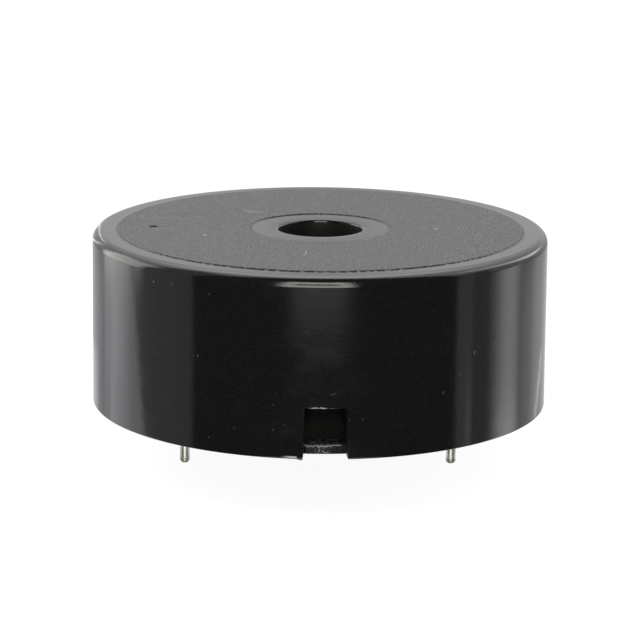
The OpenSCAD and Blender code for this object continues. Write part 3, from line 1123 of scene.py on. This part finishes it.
        ragged = np.abs(ripple(np.linspace(0, 2 * np.pi, share.size), 13, 150, 420))
        z[starts["lintel_out"]] -= np.where(np.abs(share) < 0.97, self.lip_ragged * ragged, 0.0)
        burr = smooth_step(x, *self.burr_x[0]) * smooth_step(x, *self.burr_x[1]) * (y < 0)
        rim_rows = slice(starts["rim_outside"] + 2, starts["rim"] + 1)
        z[rim_rows] -= self.burr * burr[rim_rows]
        return np.stack((x, y, z), -1)

    def faces(
        self, rows: int, starts: dict[str, int], share: np.ndarray
    ) -> tuple[list[list[int]], np.ndarray]:
        """Joins the grid's points, leaves the notch open and closes the notch's sides and top.

        Args:
            rows: points in the section.
            starts: numbers of the points that matter.
            share: the columns, from -2 to 2.

        Returns:
            The faces, and the number of each face's material.
        """
        columns, row = share.size, np.arange(rows)[:, None]
        quads = quad_grid(rows, columns, True, True)[..., [0, 3, 2, 1]]
        tiny = 1e-9
        inside_notch = (share >= -1 - tiny) & (np.roll(share, -1) <= 1 + tiny) & (share < 1 - tiny)
        outer, inner = starts["lintel_out"], starts["lintel_in"]
        cut = (row >= outer) & (row < inner) & inside_notch
        zone = np.full((rows, columns), Zone.GLOSS.value)
        zone[starts["inner_step"] : starts["border"] - 1] = Zone.GRAIN.value
        zone[starts["rim"] + 2 :] = Zone.INSIDE.value
        zone[: starts["hole_edge"]] = Zone.INSIDE.value
        faces, zones = quads[~cut].tolist(), zone[~cut].tolist()
        first, last = (int(np.argmin(np.abs(share - at))) for at in (-1.0, 1.0))
        side = np.arange(outer, inner + 1) * columns
        faces += [(side + first)[::-1].tolist(), (side + last).tolist()]
        here, out_row, in_row = np.arange(first, last), outer * columns, inner * columns
        top = (out_row + here, in_row + here, in_row + here + 1, out_row + here + 1)
        faces += np.stack(top, -1).tolist()
        zones += [Zone.INSIDE.value] * (2 + here.size)
        return faces, np.array(zones, np.int32)

    def build(self) -> None:
        """Makes the case, with its three finishes, in the place of its CAD node."""
        profile, starts = self.profile()
        share = self.columns()
        points = self.grid(profile, starts, share)
        faces, zones = self.faces(len(profile), starts, share)
        piece = make_object("case", points.reshape(-1, 3), faces, 40.0)
        piece.data.polygons.foreach_set("material_index", zones)
        texture = Grain(3.5, 3.0, tone=1.0, height=1.0)
        flow = Grain(0.5, 2.0, (0.3, 1.0, 1.0), rough=0.12)
        colour = (0.0125, 0.0132, 0.0135)
        top = GrainedTop("case_grained_black", colour, 0.32, TOP_MARKS, specks=0.7, speck_light=0.2)
        colour, look = (0.0055, 0.0055, 0.005), {"dark": 0.6, "light": 1.4, "shine": 0.3}
        inside = GrainyFinish("case_inside_black", colour, (texture, flow), 0.4, 0.006, **look)
        gloss = GlossCase("case_gloss_black", (0.0042, 0.0042, 0.0045), marks=WALL_MARKS)
        finishes = {Zone.GLOSS: gloss, Zone.GRAIN: top, Zone.INSIDE: inside}
        for zone in Zone:
            piece.data.materials.append(finishes[zone].material())
        add_piece(piece, "case_black", "housing")


# Base, pins and inner parts


@dataclass
class Base:
    """The base plate and the torn stub of its gate, which shows in the notch."""

    gate_middle: Point = (-0.5, -19.86, 0.6)
    gate_half: Point = (1.2, 0.16, 0.37)
    gate_steps: tuple[int, int] = (72, 40)
    gate_power: float = 0.42
    gate_rough: float = 0.05
    gate_rough_axes: Point = (0.2, 1.0, 0.6)
    gate_waves: int = 26
    gate_rate: Point = (9.0, 6.0, 11.0)
    # The very dark plain colour is part of the painted shade in the notch; the finish lightens it
    # towards the foot.
    plastic: Finish = TornBase("base_torn_black", (0.0012, 0.0012, 0.001))

    def boxy(self, value: np.ndarray) -> np.ndarray:
        """Keeps the sign and raises the size to the power."""
        return np.sign(value) * np.abs(value) ** self.gate_power

    def gate(self) -> bpy.types.Object:
        """Rough stub: a box with round edges, whose surface moves by a sum of seeded sines.

        With two angles, each coordinate is the half size times a cosine or sine raised to a power
        below 1, which keeps its sign, so the form is boxy and closes at both ends.

        Returns:
            The piece.
        """
        steps_u, steps_v = self.gate_steps
        u = np.linspace(-np.pi / 2, np.pi / 2, steps_u + 1)[1:-1]
        v = np.linspace(0, 2 * np.pi, steps_v, endpoint=False)
        x = np.repeat(self.boxy(np.sin(u))[:, None], steps_v, 1)
        y = np.multiply.outer(self.boxy(np.cos(u)), self.boxy(np.cos(v)))
        z = np.multiply.outer(self.boxy(np.cos(u)), self.boxy(np.sin(v)))
        half, middle = np.array(self.gate_half), np.array(self.gate_middle)
        local = np.stack((x, y, z), -1) * half
        rng = np.random.default_rng(7)
        wave = np.zeros(x.shape)
        for _ in range(self.gate_waves):
            way = rng.normal(size=3) * self.gate_rate
            wave += np.sin(local @ way + rng.uniform(0, 2 * np.pi)) / self.gate_waves**0.5
        local *= 1 + (self.gate_rough * wave)[..., None] / half * np.array(self.gate_rough_axes)
        poles = np.array([[-half[0], 0, 0], [half[0], 0, 0]])
        piece = poled_object("gate_stub", local + middle, poles + middle, 60.0)
        piece.data.materials.append(self.plastic.material())
        return piece

    def build(self) -> None:
        """Dresses the base and adds the gate's stub."""
        dress_nodes(self.plastic, "base")
        add_piece(self.gate(), "base_black")


class PinEnd(Enum):
    """How the end of a pin is finished."""

    ROUNDED = "rounded"
    CUT = "cut"


@dataclass
class Pin:
    """One pin: a wire with a thicker shank in the base."""

    name: str
    node: str
    x: float
    end: PinEnd
    wire_r: float = 0.45
    wire_low: float = -5.8
    shank_r: float = 0.65
    shank_z: float = 0.05
    shank_middle: float = 3.0
    tip: float = -6.5
    top: float = 6.8
    round_r: float = 0.35
    chamfer: float = 0.15
    chamfer_edge: float = 0.03
    columns: int = 64

    def profile(self) -> np.ndarray:
        """Section from the tip up: its end, the wire, the step at the base and the shank.

        Returns:
            Radius and height of each point, with both ends on the axis.
        """
        r, low = self.wire_r, self.tip
        if self.end is PinEnd.ROUNDED:
            end = arc((r - self.round_r, low + self.round_r), self.round_r, -90, 0, 12)
        else:
            cut, edge = self.chamfer, self.chamfer_edge
            flat = [[r - cut - edge, low], [r - cut, low + edge / 2]]
            end = np.array([*flat, [r - edge / 2, low + cut], [r, low + cut + edge]])
        wire = upright(r, np.linspace(self.wire_low, self.shank_z, 10))
        shank = upright(self.shank_r, (self.shank_z, self.shank_middle, self.top))
        return np.vstack(([[0, low]], end, wire, shank, [[0, self.top]]))

    def build(self) -> None:
        """Makes the pin in the place of its CAD node."""
        piece = turned_solid(self.name, self.profile(), (self.x, 0.0), self.columns)
        piece.data.materials.append(DrawnWire("pin_tinned", (0.72, 0.72, 0.68)).material())
        add_piece(piece, "tinned_wire", self.node)


@dataclass
class Disc:
    """The sounding disc: brass plate, ceramic, silver layers and the silicone round it."""

    brass: Finish = RolledSheet("brass_rolled", (0.78, 0.57, 0.24))
    fired: tuple[Grain, ...] = (
        Grain(6.0, 3.0, tone=0.6, height=1.0),
        Grain(0.4, 3.0, tone=0.4, rough=0.15),
    )
    print_mesh: Grain = Grain(1.0, 1.0, (4.0, 0.3, 1.0), height=0.5)
    drag: Grain = Grain(1.0, 2.0, (6.0, 1.0, 3.0), 1.0, 0.2, 1.0, round_axis=True)

    def build(self) -> None:
        """Dresses the disc's nodes."""
        dress_nodes(self.brass, "vibration_plate")
        ceramic = GrainyFinish("ceramic_cream", (0.74, 0.68, 0.54), self.fired, 0.55, 0.012)
        dress_nodes(ceramic, "piezo_ceramic")
        layers, colour = (*self.fired, self.print_mesh), (0.8, 0.81, 0.82)
        silver = GrainyFinish("silver_fired", colour, layers, 0.38, 0.012, metallic=0.9)
        dress_nodes(silver, "main_electrode", "feedback_electrode")
        colour = (0.82, 0.82, 0.79)
        silicone = GrainyFinish("silicone_white", colour, (self.drag,), 0.35, 0.06, dark=0.85)
        dress_nodes(silicone, "silicone_bead")


@dataclass
class Board:
    """The round board with its copper, small parts, solder and leads."""

    base_resistor: Span = (-0.95, -5.5)
    side_resistor: Span = (-6.0, 0.0)
    epoxy: Colour = (0.018, 0.018, 0.019)
    fibres: tuple[Grain, ...] = (
        Grain(1.4, 3.0, (0.35, 3.0, 1.0), tone=0.4, height=0.4),
        Grain(1.4, 3.0, (3.0, 0.35, 1.0), tone=0.4, height=0.4),
        Grain(0.25, 3.0, tone=0.2, rough=0.2, height=0.2),
    )
    frost: tuple[Grain, ...] = (
        Grain(8.0, 3.0, tone=1.0, rough=0.22, height=0.3),
        Grain(1.5, 1.0, height=0.7),
    )

    def build(self) -> None:
        """Dresses the board's nodes."""
        colour, look = (0.58, 0.38, 0.17), {"dark": 0.62, "window": (0.35, 0.65)}
        laminate = GrainyFinish("board_laminate", colour, self.fibres, 0.38, 0.01, **look)
        dress_nodes(laminate, "circuit_board")
        copper = RolledSheet("copper_foil", (0.8, 0.42, 0.24), (0.4, 0.17, 0.08), 0.3)
        dress_nodes(copper, "circuit_tracks")
        turned = PartAxis.ALONG_Y
        transistor = TwoMaterialPart("transistor_epoxy", self.epoxy, axis=turned)
        dress_nodes(transistor, "transistor")
        across = TwoMaterialPart("resistor_across", self.epoxy, self.base_resistor, turned)
        dress_nodes(across, "base_resistor")
        along = TwoMaterialPart("resistor_along", self.epoxy, self.side_resistor)
        dress_nodes(along, "bias_resistor", "load_resistor")
        colour, look = (0.74, 0.75, 0.76), {"window": (0.3, 0.7), "metallic": 1.0}
        solder = GrainyFinish("solder_tin", colour, self.frost, 0.2, 0.03, **look)
        dress_nodes(solder, "component_solder", "disc_solder", "lead_solder", "pin_solder")
        dress_nodes(LeadCover("cover_black", (0.02, 0.02, 0.02), high=8.65), "plate_lead")
        dress_nodes(LeadCover("cover_red", (0.55, 0.03, 0.02)), "drive_lead")
        dress_nodes(LeadCover("cover_blue", (0.02, 0.08, 0.42)), "feedback_lead")


# Studio and camera


@dataclass(frozen=True)
class Card:
    """A soft card around the object, which shows in its gloss.

    Azimuth 0 is towards the camera, growing to the right; elevation is above the horizon. Both are
    in degrees. The slant is the degrees of azimuth by which a card moves for each above its middle.
    """

    name: str
    azimuth: Span
    elevation: Span
    glow: Colour
    soft: Span = (4.0, 4.0)
    slant: float = 0.0

    def cover(self, azimuth: np.ndarray, elevation: np.ndarray) -> np.ndarray:
        """How much of the card lies at each direction: the product of two soft windows.

        Args:
            azimuth: azimuths in degrees.
            elevation: elevations in degrees.

        Returns:
            Share between 0 and 1.
        """
        (left, right), (low, high) = self.azimuth, self.elevation
        middle = (left + right) / 2 + self.slant * (elevation - (low + high) / 2)
        inwards = (right - left) / 2 - np.abs((azimuth - middle + 180) % 360 - 180)
        side, end = (width / 2 for width in self.soft)
        tall = smooth_step(elevation - low, -end, end) * smooth_step(high - elevation, -end, end)
        return smooth_step(inwards, -side, side) * tall


CARDS = (
    Card("shade behind", (175.5, 180.5), (-4, 20), (0.66, 0.68, 0.665), (5.0, 6.0)),
    Card("top light behind", (125, 235), (50, 84), (3.9, 3.9, 3.9), (60.0, 26.0)),
    Card("side left, low", (-168, -134), (-60, -9), (0.66, 0.66, 0.69), (5.0, 4.0)),
    Card("edge strip left, low", (-184, -149.8), (-60, -13.2), (0.88, 0.88, 0.91), (3.0, 0.3)),
    Card("side right, low", (118, 168), (-60, -9), (0.71, 0.71, 0.74), (5.0, 4.0)),
    Card("side right, brighter band", (131, 141), (-60, -9), (0.84, 0.84, 0.86), (6.0, 4.0)),
    Card("thin line right", (141.5, 144.9), (-15.4, -13.2), (1.65, 1.65, 1.6), (2.6, 0.6), 5.6),
    Card("window left, pane", (-167, -147), (-7, 18), (0.68, 0.7, 0.67), (3.0, 3.0), 0.5),
    Card("window left, left edge", (-168.6, -166.8), (-3, 13), (1.9, 1.9, 1.8), (2.0, 3.0), 0.1),
    Card("window left, top edge", (-163.2, -159.2), (12, 20.5), (2.6, 2.6, 2.5), (3.0, 3.0), 1.5),
    Card("window left, lower edge", (-158.2, -154.8), (-8, 1.5), (2.2, 2.2, 2.1), (2.0, 3.0), 1.5),
    Card("window left, right edge", (-149.2, -146.2), (1, 17), (2.2, 2.2, 2.1), (2.0, 3.0), 0.25),
    Card("dark front", (-66, 71), (-91, 91), (0.045, 0.045, 0.048), (3.0, 4.0)),
    Card("grey flag left", (-100, -66), (-40, 60), (0.42, 0.42, 0.42), (3.0, 10.0)),
    Card("soft light left, left part", (-136.6, -118), (-60, -6), (1.08, 1.08, 1.12), (3.0, 6.0)),
    Card("left part, foot", (-136.9, -118), (-60, -13.4), (0.92, 0.92, 0.96), (3.0, 1.5)),
    Card("soft light left, right part", (-122, -99.2), (-22, -6), (1.35, 1.35, 1.4), (2.4, 6), -2),
    Card("soft light left, middle", (-128.0, -112), (-60, -6), (1.78, 1.78, 1.85), (11.0, 6.0)),
    Card("middle, foot", (-127.5, -112), (-60, -13.4), (1.55, 1.55, 1.61), (10.0, 1.5)),
    Card("soft light left, upper part", (-133, -96), (-8, 31), (3.35, 3.35, 3.2), (9.0, 8.0), 0.18),
    Card("warm strip right", (68.5, 78.5), (-40, 24), (0.5, 0.47, 0.41), (3.0, 8.0)),
    Card("thin line in the warm strip", (75.0, 78.6), (-40, -13.2), (0.85, 0.85, 0.83), (1.5, 1.5)),
    Card("dark gap right", (78.5, 90), (-40, 24), (0.27, 0.27, 0.3), (4.0, 8.0)),
    Card("soft light right", (96.5, 113), (-60, -2), (1.75, 1.75, 1.8), (14.0, 8.0)),
    Card("soft light right, foot", (97, 111.5), (-60, -14.2), (2.35, 2.35, 2.4), (13.0, 1.5)),
    Card("soft light right, upper part", (103, 122), (11, 44), (3.5, 3.5, 3.35), (8.0, 7.0), -1.38),
    Card("front light", (-20, 14), (-5.9, 47), (5.4, 5.4, 5.0), (8.0, 2.4)),
    Card("bar across the front light", (-14, 8), (11.5, 27.5), (1.6, 1.6, 1.5), (5.0, 4.0)),
    Card("spill of the front light", (-14, 11), (-11.1, -6.2), (0.53, 0.55, 0.57), (12.0, 1.4)),
    Card("pale table in front", (-28, 28), (-60, -21), (2.6, 2.6, 2.5), (8.0, 5.0)),
    Card("dark ceiling", (-200, 200), (86, 91), (0.6, 0.6, 0.6), (2.0, 6.0)),
)


@dataclass
class Studio:
    """Floor, lamps and the cards that the gloss shows."""

    floor_z: float = -6.5
    floor_half: float = 4000.0
    floor_glow: float = 0.94
    surround_r: float = 420.0
    azimuths: int = 541
    bands: tuple[tuple[float, float, int], ...] = (
        (-90, -20, 23),
        (-20, -15.5, 9),
        (-15.5, -12.5, 30),
        (-12.5, 20, 65),
        (20, 90, 42),
    )
    pale_tint: Colour = (0.975, 1.0, 0.98)
    patch_r: float = 32.0
    patch_glow: Colour = (0.68, 0.7, 0.6)
    ambient: float = 0.62
    lamp_target: Point = (0.0, 0.0, 8.0)
    lamp_size: float = 220.0

    def radiance(self, azimuth: np.ndarray, elevation: np.ndarray) -> np.ndarray:
        """Light from each direction: a pale surround, over which each card is laid in turn.

        Args:
            azimuth: azimuths in degrees.
            elevation: elevations in degrees.

        Returns:
            Three colour values for each direction.
        """
        pale = 0.46 + 0.43 * smooth_step(elevation, -8, 16) + 0.9 * smooth_step(elevation, 18, 50)
        light = pale[..., None] * np.array(self.pale_tint)
        for card in CARDS:
            log.info("card: %s", card.name)
            share = card.cover(azimuth, elevation)[..., None]
            light = light * (1 - share) + np.array(card.glow) * share
        return light

    def surround(self) -> None:
        """Sphere round the object that only its gloss shows, with the cards' light at its points.

        A point lies at the radius times the cosine and sine of its azimuth and elevation.
        """
        azimuth = np.linspace(-180, 180, self.azimuths)
        rows = [np.linspace(low, high, count + 1)[1:] for low, high, count in self.bands]
        elevation = np.concatenate(([self.bands[0][0]], *rows))
        a, e = np.meshgrid(azimuth, elevation, indexing="ij")
        ar, er = np.radians(a), np.radians(e)
        ways = np.stack((np.sin(ar) * np.cos(er), -np.cos(ar) * np.cos(er), np.sin(er)), -1)
        points = (self.surround_r * MM * ways).reshape(-1, 3)
        quads = quad_grid(*a.shape, False, False).reshape(-1, 4)
        mesh = bpy.data.meshes.new("studio_surround")
        mesh.from_pydata(points.tolist(), [], quads.tolist())
        stored = mesh.attributes.new("glow", "FLOAT_COLOR", "POINT")
        light = self.radiance(a, e).reshape(-1, 3)
        full = np.column_stack((light, np.ones(len(light)))).astype(np.float32)
        stored.data.foreach_set("color", full.ravel())
        self.glow_only(mesh, "glow")

    def floor(self) -> None:
        """White floor at the pins' tips, which the camera sees nearly white and faintly shaded."""
        half, z = self.floor_half * MM, self.floor_z * MM
        corners = [(-half, -half, z), (half, -half, z), (half, half, z), (-half, half, z)]
        mesh = bpy.data.meshes.new("studio_floor")
        mesh.from_pydata(corners, [], [(0, 1, 2, 3)])
        material = bpy.data.materials.new("studio_floor")
        net = Net(material)
        seen = net.node("ShaderNodeLightPath").outputs["Is Camera Ray"]
        real = net.node("ShaderNodeBsdfDiffuse", None, {"Color": (0.8, 0.8, 0.8, 1.0)})
        pale = net.node("ShaderNodeBsdfDiffuse", None, {"Color": (0.1, 0.1, 0.1, 1.0)})
        glow = {"Color": (1.0, 1.0, 1.0, 1.0), "Strength": self.floor_glow}
        own = net.node("ShaderNodeEmission", None, glow)
        both = net.node("ShaderNodeAddShader", None, {0: pale.outputs[0], 1: own.outputs[0]})
        net.end("ShaderNodeMixShader", {0: seen, 1: real.outputs[0], 2: both.outputs[0]})
        self.stage(mesh, material, ("glossy",))

    def table_patch(self) -> None:
        """Pale half disc behind the pins, which only gloss shows; it tones the wires' edges.

        Points lie at evenly spaced angles on half a circle round the middle.
        """
        angle = np.linspace(0, np.pi, 49)
        x, y = self.patch_r * np.cos(angle), self.patch_r * np.sin(angle)
        points = np.column_stack((x, y, np.full(angle.size, self.floor_z + 0.01))) * MM
        mesh = bpy.data.meshes.new("studio_table_patch")
        mesh.from_pydata(points.tolist(), [], [list(range(angle.size))])
        self.glow_only(mesh, self.patch_glow)

    def glow_only(self, mesh: bpy.types.Mesh, glow: Colour | str) -> None:
        """Makes a stage object that only gloss shows.

        Args:
            mesh: its mesh.
            glow: its light as a colour, or as the name of the colour attribute that holds it.
        """
        material = bpy.data.materials.new(mesh.name)
        net = Net(material)
        if isinstance(glow, str):
            glow = net.node("ShaderNodeAttribute", {"attribute_name": glow}).outputs["Color"]
        net.end("ShaderNodeEmission", {"Color": glow, "Strength": 1.0})
        rays = ("camera", "diffuse", "shadow", "transmission", "volume_scatter")
        self.stage(mesh, material, rays)

    def stage(
        self, mesh: bpy.types.Mesh, material: bpy.types.Material, unseen: Sequence[str]
    ) -> None:
        """Puts a mesh on the stage; it lights nothing by being sampled as a lamp.

        Args:
            mesh: the mesh.
            material: its material.
            unseen: the kinds of ray that don't see it.
        """
        material.cycles.emission_sampling = "NONE"
        mesh.materials.append(material)
        made = add_object(mesh.name, mesh)
        for kind in unseen:
            setattr(made, "visible_" + kind, False)

    def world(self) -> None:
        """Even light from all around, and white for the rays of the camera, gloss and glass."""
        world = bpy.data.worlds.new("studio_world")
        bpy.context.scene.world = world
        net = Net(world)
        path = net.node("ShaderNodeLightPath").outputs
        kinds = ("Is Camera Ray", "Is Glossy Ray", "Is Transmission Ray")
        camera, glossy, through = (Signal(net, path[name]) for name in kinds)
        strength = self.ambient + (1 - self.ambient) * camera.most(glossy).most(through)
        net.end("ShaderNodeBackground", {"Color": (1.0, 1.0, 1.0), "Strength": strength}, "World")

    def lamp(self, name: str, place: Point, power: float) -> None:
        """Soft square lamp that faces the object and doesn't show in its gloss.

        Args:
            name: name of the lamp.
            place: its middle, in millimetres.
            power: its power in watts.
        """
        data = bpy.data.lights.new(name, "AREA")
        data.size, data.energy = self.lamp_size * MM, power
        made = add_object(name, data)
        middle = np.array(place)
        back = middle - np.array(self.lamp_target)
        back /= np.linalg.norm(back)
        right = np.cross((0.0, 0.0, 1.0), back)
        right /= np.linalg.norm(right)
        made.matrix_world = stand(middle, right, np.cross(back, right), back)
        made.visible_glossy = False
        made.visible_camera = False

    def build(self) -> None:
        """Makes the floor, the surround, the world and the lamps."""
        self.floor()
        self.surround()
        self.table_patch()
        self.world()
        self.lamp("lamp_left", (-260.0, -120.0, 260.0), 1.4)
        self.lamp("lamp_right", (240.0, -160.0, 200.0), 0.8)
        bpy.context.scene.view_settings.view_transform = "Standard"


def stand(place: np.ndarray, right: np.ndarray, up: np.ndarray, back: np.ndarray) -> Matrix:
    """Matrix, in metres, of something that stands at a point and looks along -Z.

    Args:
        place: the point, in millimetres.
        right: direction of its X axis.
        up: direction of its Y axis.
        back: direction of its Z axis.

    Returns:
        The matrix.
    """
    turn = Matrix(np.column_stack((right, up, back)).tolist()).to_4x4()
    turn.translation = (place * MM).tolist()
    return turn


@dataclass
class Camera:
    """The photograph's camera, as fitted to the outline of the case."""

    target: Point = (0.0, 0.0, 16.0)
    distance: float = 247.05
    azimuth: float = -1.7333
    elevation: float = 11.63
    roll: float = 0.5855
    focal: float = 2681.0
    target_pixel: Span = (320.318, 227.867)
    picture: float = 640.0
    sensor: float = 36.0
    clip: Span = (0.01, 20.0)

    def back(self) -> np.ndarray:
        """Direction from the target to the camera, from its azimuth and elevation."""
        a, e = math.radians(self.azimuth), math.radians(self.elevation)
        return np.array([math.sin(a) * math.cos(e), -math.cos(a) * math.cos(e), math.sin(e)])

    def axes(self) -> np.ndarray:
        """Right, up and forward directions of the camera.

        The plain axes look at the target; they are rolled, and then turned so that the target falls
        on its pixel instead of the picture's middle.

        Returns:
            The three directions, one to a row.
        """
        a, roll, back = math.radians(self.azimuth), math.radians(self.roll), self.back()
        right = np.array([math.cos(a), math.sin(a), 0.0])
        up = np.cross(back, right)
        c, s = math.cos(roll), math.sin(roll)
        rolled = np.array([c * right + s * up, -s * right + c * up, -back])
        side, down = ((p - self.picture / 2) / self.focal for p in self.target_pixel)
        axis = np.array([side, -down, 1.0])
        axis /= np.linalg.norm(axis)
        ahead = np.array([0.0, 0.0, 1.0])
        k = np.cross(ahead, axis)
        k_cross = np.array([[0, -k[2], k[1]], [k[2], 0, -k[0]], [-k[1], k[0], 0]])
        turn = np.eye(3) + k_cross + k_cross @ k_cross / (1 + ahead @ axis)
        return turn @ rolled

    def build(self) -> None:
        """Makes the camera and gives it to the scene."""
        data = bpy.data.cameras.new("photo_camera")
        data.sensor_width = self.sensor
        data.lens = self.focal / self.picture * self.sensor
        data.clip_start, data.clip_end = self.clip
        made = add_object("photo_camera", data)
        right, up, forward = self.axes()
        place = np.array(self.target) + self.distance * self.back()
        made.matrix_world = stand(place, right, up, -forward)
        bpy.context.scene.camera = made


def main() -> None:
    """Builds and dresses the part, then its studio and camera."""
    logging.basicConfig(level=logging.INFO, format="%(message)s")
    Camera().build()
    Studio().build()
    Case().build()
    Base().build()
    Pin("wire_pin_positive", "pin_positive", -12.5, PinEnd.ROUNDED).build()
    Pin("wire_pin_negative", "pin_negative", 12.5, PinEnd.CUT).build()
    Disc().build()
    Board().build()


if __name__ == "__main__":
    main()
